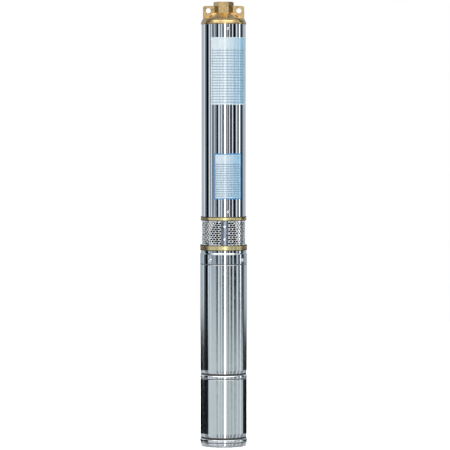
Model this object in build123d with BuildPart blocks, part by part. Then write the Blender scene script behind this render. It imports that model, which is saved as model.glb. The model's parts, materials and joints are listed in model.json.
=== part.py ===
from build123d import *
import os
from math import cos, degrees, radians, sin, tan

# A four-inch submersible borehole pump, standing on its bottom cap.
# Millimetres, +Z up, origin at the centre of the bottom face.

# Motor half, sizes from the bottom up
motor_tube_radius = 51.0
motor_tube_wall = 1.5
cap_height = 17.0
cap_overhang = 0.5
cap_foot_chamfer = 3.0
cap_bead_chamfer = 1.8
cap_groove_level = 9.0
cap_groove_width = 1.0
cap_groove_depth = 0.8
crimp_gap = 4.0
capacitor_shell_length = 129.0
joint_ring_height = 7.0
joint_ring_overhang = 0.5
joint_ring_chamfer = 2.0
motor_tube_length = 239.0
top_cover_height = 30.0
cover_neck_height = 6.0
cover_neck_depth = 1.5
cover_neck_slope = 2.0
lip_chamfer = 1.0

# Pump half
pump_tube_radius = 48.0
pump_tube_wall = 1.5
pump_tube_length = 419.5
bracket_flange_height = 11.5
bracket_flange_radius = 51.2
strainer_height = 53.5
strainer_wall = 1.0
upper_ring_height = 8.5
upper_ring_radius = 49.8
bracket_spigot_height = 10.0
lock_screw_angle = 12.0
lock_screw_radius = 3.0
lock_screw_offset = 11.0
lock_screw_sink = 0.4

# Discharge head
rim_radius = 49.5
rim_height = 4.5
rim_step = 0.8
shoulder_radius = 44.2
shoulder_height = 8.5
shoulder_bulge = 1.1
cone_height = 12.0
collar_height = 24.0
collar_flats = 38.0
collar_chamfer = 2.6
collar_chamfer_angle = 30.0
outlet_radius = 15.15
skirt_height = 21.5
skirt_wall = 4.0
head_wall = 5.5
ear_reach = 45.2
ear_thickness = 6.0
ear_drop = 8.0
ear_corner = 5.0
ear_hole_radius = 5.5
ear_hole_reach = 33.4
ear_hole_drop = 19.0
ear_sink = 4.5
cavity_rise = 4.0

# Fits
spigot_clearance = 0.1
face_clearance = 0.1
running_clearance = 0.05
press_clearance = 0.02
screw_clearance = 0.1
capacitor_clearance = 0.1
cut_margin = 1.0

# Strainer
strainer_seam_angle = 2.5
strainer_seam_width = 15.5
strainer_lap = 0.6
strainer_hole_width = 4.4
strainer_rows = 5
strainer_columns = 18
strainer_screw_radius = 3.25
strainer_screw_head = 1.5
strainer_screw_pitch = 28.0

# Intake bracket
bracket_bore = 28.5
bracket_legs = 4
leg_width = 9.0
leg_depth = 8.0
leg_margin = 1.0
arm_overlap = 1.0
holder_radius = 17.5
holder_arm_width = 6.0
guard_wall = 3.0
guard_gap = 1.1
guard_straight = 30.0
bolt_inset = 9.9
bolt_radius = 4.0
bolt_head_flats = 13.0
bolt_head_height = 5.5
bolt_length = 30.0

# Shafts
hex_flats = 12.0
hex_clearance = 0.1
bearing_bore = 8.5
bearing_radius = 20.0
bearing_width = 12.0
bearing_shield_radius = 12.6
bearing_shield_gap = 0.3
shaft_step = 11.0
hex_end_length = 22.0
shaft_end_gap = 2.0
coupling_radius = 13.0
sleeve_radius = 9.0
bush_radius = 14.0
bush_length = 20.0
nut_flats = 19.0
nut_height = 6.0

# Stages
stage_count = 6
stage_wall_gap = 0.2
impeller_radius = 33.0
impeller_shroud = 3.0
impeller_hub_radius = 10.0
impeller_vane_height = 12.0
impeller_vanes = 5
impeller_vane_width = 2.5
impeller_lift = 1.0
vane_middle_reach = 0.62
vane_middle_rise = 0.18
vane_sweep = 50.0
eye_radius = 17.0
roof_thickness = 4.0
guide_vanes = 6
guide_vane_inner = 35.5
guide_vane_width = 3.0
guide_vane_sweep = 35.0
spider_height = 30.0
spider_arms = 4

# Check valve
valve_seat_thickness = 8.0
valve_seat_radius = 20.0
poppet_radius = 24.0
poppet_thickness = 5.0
stem_radius = 4.0
stem_collar_radius = 6.0
valve_travel = 10.0
stem_overrun = 3.0
cage_legs = 3
cage_leg_inner = 25.0
cage_leg_depth = 5.0
cage_leg_width = 6.0
cage_hub_radius = 8.0
cage_top_thickness = 5.0
cage_height = 29.0

# Motor insides
housing_spigot_height = 14.0
housing_recess_depth = 13.0
cover_spigot_height = 16.0
shaft_hole_clearance = 0.8
seal_pocket_radius = 14.0
seal_pocket_depth = 17.0
seal_seat_height = 6.0
seal_head_radius = 12.0
seal_head_height = 9.0
slinger_radius = 15.0
slinger_height = 5.0
stator_bore = 30.0
air_gap = 0.4
end_turn_height = 32.0
end_turn_gap = 4.0
end_turn_inner = 33.0
end_turn_outer = 45.0
end_ring_radius = 26.0
end_ring_height = 9.0
stator_slots = 12
slot_width = 6.0
slot_depth = 11.0
slot_opening = 2.0
slot_liner = 0.5
bar_depth = 8.0
protector_length = 20.0
protector_width = 8.0
protector_height = 10.0
cover_screw_angle = -36.5
cover_screw_radius = 4.75
cover_screw_drop = 21.0
cover_screw_count = 4
cover_screw_head = 1.6
gland_reach = 22.0
gland_flats = 11.0
gland_height = 7.0
gland_bore = 3.2

# Capacitor room
cap_spigot_height = 14.0
capacitor_radius = 22.5
capacitor_height = 88.0
capacitor_seat_depth = 6.0
terminal_width = 6.3
terminal_thickness = 0.8
terminal_height = 9.0
terminal_spacing = 14.0
diaphragm_radius = 44.0
diaphragm_thickness = 2.0
diaphragm_cover_thickness = 3.0
diaphragm_windows = 4
diaphragm_window_width = 9.0

# Levels, all counted from the bottom face
shell_bottom = cap_height + crimp_gap
shell_top = shell_bottom + capacitor_shell_length
joint_ring_top = shell_top + joint_ring_height
motor_tube_bottom = joint_ring_top + crimp_gap
motor_tube_top = motor_tube_bottom + motor_tube_length
motor_top = motor_tube_top + top_cover_height
strainer_bottom = motor_top + bracket_flange_height
strainer_top = strainer_bottom + strainer_height
pump_tube_bottom = strainer_top + upper_ring_height
pump_tube_top = pump_tube_bottom + pump_tube_length
rim_top = pump_tube_top + rim_height
shoulder_top = rim_top + shoulder_height
cone_top = shoulder_top + cone_height
head_top = cone_top + collar_height
skirt_bottom = pump_tube_top - skirt_height
seat_bottom = skirt_bottom - valve_seat_thickness
spider_bottom = seat_bottom - spider_height
stack_bottom = pump_tube_bottom + bracket_spigot_height
stage_pitch = (spider_bottom - stack_bottom) / stage_count
lower_bush_bottom = stack_bottom - bush_length
housing_top = motor_tube_bottom + housing_spigot_height
cover_bottom = motor_tube_top - cover_spigot_height
lower_bearing_bottom = housing_top - bearing_width
upper_bearing_top = cover_bottom + bearing_width
stator_bottom = housing_top + end_turn_gap + end_turn_height
stator_top = cover_bottom - end_turn_gap - protector_height - end_turn_height

# Radii that follow from the tubes
motor_bore = motor_tube_radius - motor_tube_wall
motor_spigot_radius = motor_bore - spigot_clearance
pump_bore = pump_tube_radius - pump_tube_wall
pump_spigot_radius = pump_bore - spigot_clearance
stage_radius = pump_bore - stage_wall_gap
bolt_circle_radius = pump_tube_radius - bolt_inset
collar_corner = collar_flats / 2 / cos(radians(30))
journal_radius = bearing_bore - press_clearance
hex_hole_flats = hex_flats + hex_clearance

# Angles are counted from the front (-Y) towards +X
leg_angles = [strainer_seam_angle + 360 / bracket_legs * i for i in range(bracket_legs)]
bolt_angles = [angle + 180 / bracket_legs for angle in leg_angles]
cover_screw_angles = [cover_screw_angle + 360 / cover_screw_count * i for i in range(cover_screw_count)]


def outward(angle, radius, height):
    """A plane on the cylinder of this radius that faces away from the axis; its X runs round it."""
    direction = Vector(sin(radians(angle)), -cos(radians(angle)), 0)
    round_it = Vector(cos(radians(angle)), sin(radians(angle)), 0)
    return Plane(origin=direction * radius + Vector(0, 0, height), x_dir=round_it, z_dir=direction)


def upright(angle, radius, height):
    """A level plane at this place whose X points away from the axis."""
    direction = Vector(sin(radians(angle)), -cos(radians(angle)), 0)
    return Plane(origin=direction * radius + Vector(0, 0, height), x_dir=direction, z_dir=(0, 0, 1))


os.makedirs("parts", exist_ok=True)

# Bottom cap: a turned cap with a bead over a rounded foot, a spigot in the shell and the capacitor's seat
cap_radius = motor_tube_radius + cap_overhang
cap_spigot_top = cap_height + crimp_gap + cap_spigot_height
capacitor_bottom = cap_spigot_top - capacitor_seat_depth
with BuildPart() as bottom_cap:
    with BuildSketch(Plane.XZ):
        with BuildLine():
            Polyline(
                (0, 0),
                (cap_radius, 0),
                (cap_radius, cap_groove_level),
                (cap_radius - cap_groove_depth, cap_groove_level),
                (cap_radius - cap_groove_depth, cap_groove_level + cap_groove_width),
                (cap_radius, cap_groove_level + cap_groove_width),
                (cap_radius, cap_height),
                (motor_spigot_radius, cap_height),
                (motor_spigot_radius, cap_spigot_top),
                (capacitor_radius + capacitor_clearance, cap_spigot_top),
                (capacitor_radius + capacitor_clearance, capacitor_bottom),
                (0, capacitor_bottom),
                close=True,
            )
        make_face()
        chamfer(vertices().group_by(Axis.X)[-1].sort_by(Axis.Y)[0], cap_foot_chamfer)
        chamfer(vertices().group_by(Axis.X)[-1].sort_by(Axis.Y)[-1], cap_bead_chamfer)
    revolve(axis=Axis.Z)
bottom_cap.part.label = "bottom_cap"
export_step(bottom_cap.part, "parts/bottom_cap.step")

# Capacitor shell: the short tube over the capacitor, its lower end rolled in over the cap
with BuildPart() as capacitor_shell:
    with BuildSketch(Plane.XY.offset(shell_bottom)):
        Circle(motor_tube_radius)
        Circle(motor_bore, mode=Mode.SUBTRACT)
    extrude(amount=capacitor_shell_length)
    chamfer(edges().group_by(Axis.Z)[0].sort_by(SortBy.LENGTH)[-1], lip_chamfer)
capacitor_shell.part.label = "capacitor_shell"
export_step(capacitor_shell.part, "parts/capacitor_shell.step")

# Capacitor: a can standing in the bottom cap, with two blade terminals on its lid
with BuildPart() as capacitor:
    with BuildSketch(Plane.XY.offset(capacitor_bottom)):
        Circle(capacitor_radius)
    extrude(amount=capacitor_height)
    with BuildSketch(Plane.XY.offset(capacitor_bottom + capacitor_height)):
        with GridLocations(terminal_spacing, 0, 2, 1):
            Rectangle(terminal_thickness, terminal_width)
    extrude(amount=terminal_height)
capacitor.part.label = "capacitor"
export_step(capacitor.part, "parts/capacitor.step")

# Lower bearing housing: closes the motor tube, carries the bearing and shows as a round bead between the shells
joint_ring_radius = motor_tube_radius + joint_ring_overhang
housing_bottom = shell_top - housing_recess_depth
with BuildPart() as lower_bearing_housing:
    with BuildSketch(Plane.XZ):
        with BuildLine():
            Polyline(
                (0, housing_bottom),
                (motor_spigot_radius, housing_bottom),
                (motor_spigot_radius, shell_top),
                (joint_ring_radius, shell_top),
                (joint_ring_radius, joint_ring_top),
                (motor_spigot_radius, joint_ring_top),
                (motor_spigot_radius, housing_top),
                (bearing_radius, housing_top),
                (bearing_radius, lower_bearing_bottom),
                (bearing_bore + shaft_hole_clearance, lower_bearing_bottom),
                (bearing_bore + shaft_hole_clearance, shell_top),
                (0, shell_top),
                close=True,
            )
        make_face()
        chamfer(vertices().group_by(Axis.X)[-1], joint_ring_chamfer)
    revolve(axis=Axis.Z)
lower_bearing_housing.part.label = "lower_bearing_housing"
export_step(lower_bearing_housing.part, "parts/lower_bearing_housing.step")

# Diaphragm: a rubber disc that evens out the pressure of the motor's filling
with BuildPart() as diaphragm:
    with BuildSketch(Plane.XY.offset(housing_bottom - diaphragm_thickness)):
        Circle(diaphragm_radius)
    extrude(amount=diaphragm_thickness)
diaphragm.part.label = "diaphragm"
export_step(diaphragm.part, "parts/diaphragm.step")

# Diaphragm cover: clamps the diaphragm and lets the water reach it through four windows
diaphragm_bottom = housing_bottom - diaphragm_thickness
with BuildPart() as diaphragm_cover:
    with BuildSketch(Plane.XY.offset(diaphragm_bottom - diaphragm_cover_thickness)):
        Circle(diaphragm_radius)
        with PolarLocations(diaphragm_radius / 2, diaphragm_windows):
            Rectangle(diaphragm_radius / 2, diaphragm_window_width, mode=Mode.SUBTRACT)
    extrude(amount=diaphragm_cover_thickness)
diaphragm_cover.part.label = "diaphragm_cover"
export_step(diaphragm_cover.part, "parts/diaphragm_cover.step")

# Motor tube: the long stainless shell round the stator, its lower end rolled in like the capacitor shell's
with BuildPart() as motor_tube:
    with BuildSketch(Plane.XY.offset(motor_tube_bottom)):
        Circle(motor_tube_radius)
        Circle(motor_bore, mode=Mode.SUBTRACT)
    extrude(amount=motor_tube_length)
    chamfer(edges().group_by(Axis.Z)[0].sort_by(SortBy.LENGTH)[-1], lip_chamfer)
motor_tube.part.label = "motor_tube"
export_step(motor_tube.part, "parts/motor_tube.step")

# Stator core: the stack of laminations, with slots that open into its bore
with BuildPart() as stator_core:
    with BuildSketch(Plane.XY.offset(stator_bottom)):
        Circle(motor_spigot_radius)
        Circle(stator_bore, mode=Mode.SUBTRACT)
        with PolarLocations(stator_bore + (slot_depth - slot_opening) / 2, stator_slots):
            Rectangle(slot_depth + slot_opening, slot_width, mode=Mode.SUBTRACT)
    extrude(amount=stator_top - stator_bottom)
stator_core.part.label = "stator_core"
export_step(stator_core.part, "parts/stator_core.step")

# Stator windings: bars in the slots, joined by the coil heads above and below the core
with BuildPart() as stator_windings:
    with BuildSketch(Plane.XY.offset(stator_bottom)):
        with PolarLocations(stator_bore + slot_depth - slot_liner - bar_depth / 2, stator_slots):
            Rectangle(bar_depth, slot_width - 2 * slot_liner)
    extrude(amount=stator_top - stator_bottom)
    with BuildSketch(Plane.XY.offset(stator_bottom - end_turn_height), Plane.XY.offset(stator_top)):
        RegularPolygon(end_turn_outer, stator_slots)
        RegularPolygon(end_turn_inner, stator_slots, major_radius=False, mode=Mode.SUBTRACT)
    extrude(amount=end_turn_height)
stator_windings.part.label = "stator_windings"
export_step(stator_windings.part, "parts/stator_windings.step")

# Thermal protector: a small switch tied on the upper coil heads
with BuildPart() as thermal_protector:
    with BuildSketch(upright(180, (end_turn_inner + end_turn_outer) / 2, stator_top + end_turn_height)):
        Rectangle(protector_width, protector_length)
    extrude(amount=protector_height)
thermal_protector.part.label = "thermal_protector"
export_step(thermal_protector.part, "parts/thermal_protector.step")

# Motor top cover: plug in the tube, bearing seat below, seal pocket above, tapped for the bracket bolts
seal_pocket_floor = motor_top - seal_pocket_depth
with BuildPart() as motor_top_cover:
    with BuildSketch(Plane.XZ):
        with BuildLine():
            Polyline(
                (bearing_radius, cover_bottom),
                (motor_spigot_radius, cover_bottom),
                (motor_spigot_radius, motor_tube_top),
                (motor_tube_radius, motor_tube_top),
                (motor_tube_radius, motor_top - cover_neck_height - cover_neck_slope),
                (motor_tube_radius - cover_neck_depth, motor_top - cover_neck_height),
                (motor_tube_radius - cover_neck_depth, motor_top),
                (seal_pocket_radius, motor_top),
                (seal_pocket_radius, seal_pocket_floor),
                (bearing_bore + shaft_hole_clearance, seal_pocket_floor),
                (bearing_bore + shaft_hole_clearance, upper_bearing_top),
                (bearing_radius, upper_bearing_top),
                close=True,
            )
        make_face()
    revolve(axis=Axis.Z)
    with BuildSketch(*[upright(angle, bolt_circle_radius, motor_top) for angle in bolt_angles]):
        Circle(bolt_radius + screw_clearance)
    extrude(amount=bracket_flange_height - bolt_length, mode=Mode.SUBTRACT)
motor_top_cover.part.label = "motor_top_cover"
export_step(motor_top_cover.part, "parts/motor_top_cover.step")

# Cover screws: the round heads that stand on the cover's wall
screw_level = motor_top - cover_screw_drop
with BuildPart() as cover_screws:
    with BuildSketch(*[outward(angle, motor_tube_radius, screw_level) for angle in cover_screw_angles]):
        Circle(cover_screw_radius)
    extrude(amount=cover_screw_head)
cover_screws.part.label = "cover_screws"
export_step(cover_screws.part, "parts/cover_screws.step")

# Cable gland: the hexagonal inlet for the motor lead, on the motor's top beside the shaft
with BuildPart() as cable_gland:
    with BuildSketch(upright(180 + strainer_seam_angle, gland_reach, motor_top)):
        RegularPolygon(gland_flats / 2, 6, major_radius=False)
        Circle(gland_bore, mode=Mode.SUBTRACT)
    extrude(amount=gland_height)
cable_gland.part.label = "cable_gland"
export_step(cable_gland.part, "parts/cable_gland.step")

# Bearings, one in the lower housing and one in the top cover: outer rings with their shields
bearing_levels = [lower_bearing_bottom, cover_bottom]
with BuildPart() as bearing_outer_rings:
    with BuildSketch(*[Plane.XY.offset(level) for level in bearing_levels]):
        Circle(bearing_radius - press_clearance)
        Circle(bearing_shield_radius + bearing_shield_gap, mode=Mode.SUBTRACT)
    extrude(amount=bearing_width)
bearing_outer_rings.part.label = "bearing_outer_rings"
export_step(bearing_outer_rings.part, "parts/bearing_outer_rings.step")

# Bearing inner rings, which turn with the motor shaft
with BuildPart() as bearing_inner_rings:
    with BuildSketch(*[Plane.XY.offset(level + face_clearance) for level in bearing_levels]):
        Circle(bearing_shield_radius)
        Circle(bearing_bore, mode=Mode.SUBTRACT)
    extrude(amount=bearing_width - 2 * face_clearance)
bearing_inner_rings.part.label = "bearing_inner_rings"
export_step(bearing_inner_rings.part, "parts/bearing_inner_rings.step")

# Seal seat: the fixed ring in the floor of the seal pocket
with BuildPart() as seal_seat:
    with BuildSketch(Plane.XY.offset(seal_pocket_floor)):
        Circle(seal_pocket_radius - press_clearance)
        Circle(bearing_bore + shaft_hole_clearance, mode=Mode.SUBTRACT)
    extrude(amount=seal_seat_height)
seal_seat.part.label = "seal_seat"
export_step(seal_seat.part, "parts/seal_seat.step")

# Seal head: the ring that turns with the shaft and runs on the seat
seal_head_bottom = seal_pocket_floor + seal_seat_height + face_clearance
with BuildPart() as seal_head:
    with BuildSketch(Plane.XY.offset(seal_head_bottom)):
        Circle(seal_head_radius)
        Circle(bearing_bore, mode=Mode.SUBTRACT)
    extrude(amount=seal_head_height)
seal_head.part.label = "seal_head"
export_step(seal_head.part, "parts/seal_head.step")

# Sand slinger: a rubber disc on the shaft that keeps grit out of the seal pocket
slinger_bottom = motor_top + 2 * face_clearance
with BuildPart() as sand_slinger:
    with BuildSketch(Plane.XY.offset(slinger_bottom)):
        Circle(slinger_radius)
        Circle(bearing_bore, mode=Mode.SUBTRACT)
    extrude(amount=slinger_height)
sand_slinger.part.label = "sand_slinger"
export_step(sand_slinger.part, "parts/sand_slinger.step")

# Motor shaft: journals in the two bearings, a thicker middle and a hexagonal end for the coupling
coupling_bottom = strainer_bottom
motor_shaft_top = coupling_bottom + hex_end_length
with BuildPart() as motor_shaft:
    with BuildSketch(Plane.XY.offset(lower_bearing_bottom + face_clearance)):
        Circle(journal_radius)
    extrude(amount=coupling_bottom - lower_bearing_bottom - 2 * face_clearance)
    with BuildSketch(Plane.XY.offset(housing_top)):
        Circle(shaft_step)
    extrude(amount=cover_bottom - housing_top)
    with BuildSketch(Plane.XY.offset(coupling_bottom - 2 * face_clearance)):
        RegularPolygon(hex_flats / 2, 6, major_radius=False)
    extrude(amount=hex_end_length)
motor_shaft.part.label = "motor_shaft"
export_step(motor_shaft.part, "parts/motor_shaft.step")

# Rotor core: the solid stack on the shaft, an air gap smaller than the stator's bore
with BuildPart() as rotor_core:
    with BuildSketch(Plane.XY.offset(stator_bottom)):
        Circle(stator_bore - air_gap)
        Circle(shaft_step + press_clearance, mode=Mode.SUBTRACT)
    extrude(amount=stator_top - stator_bottom)
rotor_core.part.label = "rotor_core"
export_step(rotor_core.part, "parts/rotor_core.step")

# Rotor end rings: the cast rings that join the rotor's bars at both ends
with BuildPart() as rotor_end_rings:
    with BuildSketch(Plane.XY.offset(stator_bottom - end_ring_height), Plane.XY.offset(stator_top)):
        Circle(end_ring_radius)
        Circle(shaft_step + press_clearance, mode=Mode.SUBTRACT)
    extrude(amount=end_ring_height)
rotor_end_rings.part.label = "rotor_end_rings"
export_step(rotor_end_rings.part, "parts/rotor_end_rings.step")

# Intake bracket: flange, legs, upper ring with the tube's spigot, arms that hold the lower bush, and the bell
# round the coupling that turns the water upwards
bracket_inner = pump_spigot_radius - leg_width / 2
leg_reach = pump_tube_radius - strainer_wall - leg_margin
arm_middle = (holder_radius + bracket_inner) / 2
bolt_head_corner = bolt_head_flats / 2 / cos(radians(30))
guard_radius = bolt_circle_radius - bolt_head_corner - guard_gap
guard_shoulder = strainer_bottom + guard_straight
with BuildPart() as intake_bracket:
    with BuildSketch(Plane.XY.offset(motor_top)):
        Circle(bracket_flange_radius)
        Circle(bracket_bore, mode=Mode.SUBTRACT)
    extrude(amount=bracket_flange_height)
    with BuildSketch(Plane.XY.offset(strainer_top)):
        Circle(upper_ring_radius)
        Circle(bracket_inner, mode=Mode.SUBTRACT)
    extrude(amount=upper_ring_height)
    with BuildSketch(Plane.XY.offset(pump_tube_bottom)):
        Circle(pump_spigot_radius)
        Circle(bracket_inner, mode=Mode.SUBTRACT)
    extrude(amount=bracket_spigot_height)
    with BuildSketch(*[upright(angle, leg_reach - leg_depth / 2, strainer_bottom) for angle in leg_angles]):
        Rectangle(leg_depth, leg_width)
    extrude(amount=strainer_height)
    with BuildSketch(*[upright(angle, arm_middle, lower_bush_bottom) for angle in leg_angles]):
        Rectangle(bracket_inner - holder_radius + 2 * arm_overlap, holder_arm_width)
    extrude(amount=bush_length)
    with BuildSketch(Plane.XY.offset(lower_bush_bottom)):
        Circle(holder_radius)
    extrude(amount=bush_length)
    with BuildSketch(Plane.XZ):
        with BuildLine():
            Polyline(
                (guard_radius - guard_wall, strainer_bottom - arm_overlap),
                (guard_radius, strainer_bottom - arm_overlap),
                (guard_radius, guard_shoulder),
                (holder_radius, lower_bush_bottom + arm_overlap),
                (holder_radius - guard_wall, lower_bush_bottom + arm_overlap),
                (guard_radius - guard_wall, guard_shoulder),
                close=True,
            )
        make_face()
    revolve(axis=Axis.Z)
    with BuildSketch(Plane.XY.offset(lower_bush_bottom)):
        Circle(bush_radius)
    extrude(amount=bush_length, mode=Mode.SUBTRACT)
    with BuildSketch(*[upright(angle, bolt_circle_radius, motor_top) for angle in bolt_angles]):
        Circle(bolt_radius + screw_clearance)
    extrude(amount=bracket_flange_height, mode=Mode.SUBTRACT)
intake_bracket.part.label = "intake_bracket"
export_step(intake_bracket.part, "parts/intake_bracket.step")

# Motor bolts: hexagonal heads on the bracket's flange, shanks into the motor's top cover
with BuildPart() as motor_bolts:
    with BuildSketch(*[upright(angle, bolt_circle_radius, strainer_bottom) for angle in bolt_angles]):
        RegularPolygon(bolt_head_flats / 2, 6, major_radius=False)
    extrude(amount=bolt_head_height)
    with BuildSketch(*[upright(angle, bolt_circle_radius, strainer_bottom) for angle in bolt_angles]):
        Circle(bolt_radius)
    extrude(amount=screw_clearance - bolt_length)
motor_bolts.part.label = "motor_bolts"
export_step(motor_bolts.part, "parts/motor_bolts.step")

# Strainer: a perforated sheet round the legs, with a raised plain strip at the front where its ends overlap
seam_half_angle = degrees(strainer_seam_width / 2 / pump_tube_radius)
hole_step = (360 - 2 * seam_half_angle) / strainer_columns
hole_row_step = strainer_height / strainer_rows
seam_face = pump_tube_radius + strainer_lap
screw_levels = [strainer_bottom + strainer_height / 2 + side * strainer_screw_pitch / 2 for side in (-1, 1)]
with BuildPart() as strainer:
    with BuildSketch(Plane.XY.offset(strainer_bottom)):
        Circle(pump_tube_radius)
        Circle(pump_tube_radius - strainer_wall, mode=Mode.SUBTRACT)
    extrude(amount=strainer_height)
    with BuildSketch(Plane.XY.offset(strainer_bottom)):
        Circle(pump_tube_radius + strainer_lap)
        with Locations(Rotation(0, 0, strainer_seam_angle - 90)):
            Rectangle(2 * pump_tube_radius, strainer_seam_width, align=(Align.MIN, Align.CENTER), mode=Mode.INTERSECT)
        Circle(pump_tube_radius - strainer_wall / 2, mode=Mode.SUBTRACT)
    extrude(amount=strainer_height)
    for row in range(strainer_rows):
        row_level = strainer_bottom + hole_row_step * (row + 0.5)
        stagger = hole_step / 2 * (row % 2)
        first = strainer_seam_angle + seam_half_angle + hole_step / 4 + stagger
        places = [first + hole_step * column for column in range(strainer_columns)]
        with BuildSketch(*[outward(angle, pump_tube_radius + cut_margin, row_level) for angle in places]):
            Rectangle(strainer_hole_width, strainer_hole_width)
        extrude(amount=-strainer_wall - 2 * cut_margin, mode=Mode.SUBTRACT)
strainer.part.label = "strainer"
export_step(strainer.part, "parts/strainer.step")

# Strainer screws: two round heads on the plain strip
with BuildPart() as strainer_screws:
    with BuildSketch(*[outward(strainer_seam_angle, seam_face, level) for level in screw_levels]):
        Circle(strainer_screw_radius)
    extrude(amount=strainer_screw_head)
strainer_screws.part.label = "strainer_screws"
export_step(strainer_screws.part, "parts/strainer_screws.step")

# Shaft bushes: the rubber bushes at both ends of the stage stack
bush_levels = [lower_bush_bottom, spider_bottom]
with BuildPart() as shaft_bushes:
    with BuildSketch(*[Plane.XY.offset(level) for level in bush_levels]):
        Circle(bush_radius - press_clearance)
        Circle(sleeve_radius + running_clearance, mode=Mode.SUBTRACT)
    extrude(amount=bush_length)
shaft_bushes.part.label = "shaft_bushes"
export_step(shaft_bushes.part, "parts/shaft_bushes.step")

# Journal sleeves: round sleeves on the hexagonal shaft that run in the bushes
with BuildPart() as journal_sleeves:
    with BuildSketch(*[Plane.XY.offset(level) for level in bush_levels]):
        Circle(sleeve_radius)
        RegularPolygon(hex_hole_flats / 2, 6, major_radius=False, mode=Mode.SUBTRACT)
    extrude(amount=bush_length)
journal_sleeves.part.label = "journal_sleeves"
export_step(journal_sleeves.part, "parts/journal_sleeves.step")

# Shaft coupling: joins the motor shaft's hexagonal end to the pump shaft
with BuildPart() as shaft_coupling:
    with BuildSketch(Plane.XY.offset(coupling_bottom)):
        Circle(coupling_radius)
        RegularPolygon(hex_hole_flats / 2, 6, major_radius=False, mode=Mode.SUBTRACT)
    extrude(amount=lower_bush_bottom - coupling_bottom)
shaft_coupling.part.label = "shaft_coupling"
export_step(shaft_coupling.part, "parts/shaft_coupling.step")

# Pump shaft: a hexagonal bar from the coupling to the nut above the upper bush
pump_shaft_bottom = motor_shaft_top + shaft_end_gap
pump_shaft_top = spider_bottom + bush_length + nut_height + face_clearance
with BuildPart() as pump_shaft:
    with BuildSketch(Plane.XY.offset(pump_shaft_bottom)):
        RegularPolygon(hex_flats / 2, 6, major_radius=False)
    extrude(amount=pump_shaft_top - pump_shaft_bottom)
pump_shaft.part.label = "pump_shaft"
export_step(pump_shaft.part, "parts/pump_shaft.step")

# Shaft nut: clamps the sleeves and the impellers' hubs together
with BuildPart() as shaft_nut:
    with BuildSketch(Plane.XY.offset(spider_bottom + bush_length)):
        RegularPolygon(nut_flats / 2, 6, major_radius=False)
        RegularPolygon(hex_hole_flats / 2, 6, major_radius=False, mode=Mode.SUBTRACT)
    extrude(amount=nut_height)
shaft_nut.part.label = "shaft_nut"
export_step(shaft_nut.part, "parts/shaft_nut.step")

# Impellers: a hub as long as the stage, a back shroud and curved vanes that face the eye below
stage_levels = [stack_bottom + stage_pitch * stage for stage in range(stage_count)]
vane_levels = [level + impeller_lift for level in stage_levels]
shroud_levels = [level + impeller_vane_height for level in vane_levels]
vane_tip = impeller_radius - face_clearance
with BuildPart() as impellers:
    with BuildSketch(*[Plane.XY.offset(level) for level in stage_levels]):
        Circle(impeller_hub_radius)
        RegularPolygon(hex_hole_flats / 2, 6, major_radius=False, mode=Mode.SUBTRACT)
    extrude(amount=stage_pitch - face_clearance)
    with BuildSketch(*[Plane.XY.offset(level) for level in shroud_levels]):
        Circle(impeller_radius)
        Circle(impeller_hub_radius, mode=Mode.SUBTRACT)
    extrude(amount=impeller_shroud)
    with BuildSketch(*[Plane.XY.offset(level) for level in vane_levels]):
        with PolarLocations(0, impeller_vanes):
            with BuildLine():
                vane_line = ThreePointArc(
                    (impeller_hub_radius - face_clearance, 0),
                    (vane_tip * vane_middle_reach, vane_tip * vane_middle_rise),
                    (vane_tip * cos(radians(vane_sweep)), vane_tip * sin(radians(vane_sweep))),
                )
                offset(vane_line, impeller_vane_width / 2, kind=Kind.TANGENT)
            make_face()
    extrude(amount=impeller_vane_height)
impellers.part.label = "impellers"
export_step(impellers.part, "parts/impellers.step")

# Diffusers: a roof with the next stage's eye, carried on swept guide vanes that stand round the impeller
guide_middle = (guide_vane_inner + stage_radius) / 2
guide_length = (stage_radius - guide_vane_inner) / cos(radians(guide_vane_sweep))
with BuildPart() as diffusers:
    with BuildSketch(*[Plane.XY.offset(level + stage_pitch - roof_thickness) for level in stage_levels]):
        Circle(stage_radius)
        Circle(eye_radius, mode=Mode.SUBTRACT)
    extrude(amount=roof_thickness - face_clearance)
    with BuildSketch(*[Plane.XY.offset(level) for level in stage_levels]):
        with PolarLocations(guide_middle, guide_vanes):
            Rectangle(guide_length, guide_vane_width, rotation=guide_vane_sweep)
        Circle(stage_radius, mode=Mode.INTERSECT)
    extrude(amount=stage_pitch - roof_thickness)
diffusers.part.label = "diffusers"
export_step(diffusers.part, "parts/diffusers.step")

# Bearing spider: four arms on top of the stage stack that hold the upper bush
with BuildPart() as bearing_spider:
    with BuildSketch(Plane.XY.offset(spider_bottom)):
        with PolarLocations(0, spider_arms):
            with Locations((stage_radius / 2, 0)):
                Rectangle(stage_radius + holder_arm_width, holder_arm_width)
        Circle(stage_radius, mode=Mode.INTERSECT)
        Circle(holder_radius, mode=Mode.SUBTRACT)
    extrude(amount=spider_height)
    with BuildSketch(Plane.XY.offset(spider_bottom)):
        Circle(holder_radius)
        Circle(bush_radius, mode=Mode.SUBTRACT)
    extrude(amount=bush_length)
bearing_spider.part.label = "bearing_spider"
export_step(bearing_spider.part, "parts/bearing_spider.step")

# Valve seat: the plate under the discharge head that the poppet closes
with BuildPart() as valve_seat:
    with BuildSketch(Plane.XY.offset(seat_bottom)):
        Circle(stage_radius)
        Circle(valve_seat_radius, mode=Mode.SUBTRACT)
    extrude(amount=valve_seat_thickness)
valve_seat.part.label = "valve_seat"
export_step(valve_seat.part, "parts/valve_seat.step")

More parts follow.
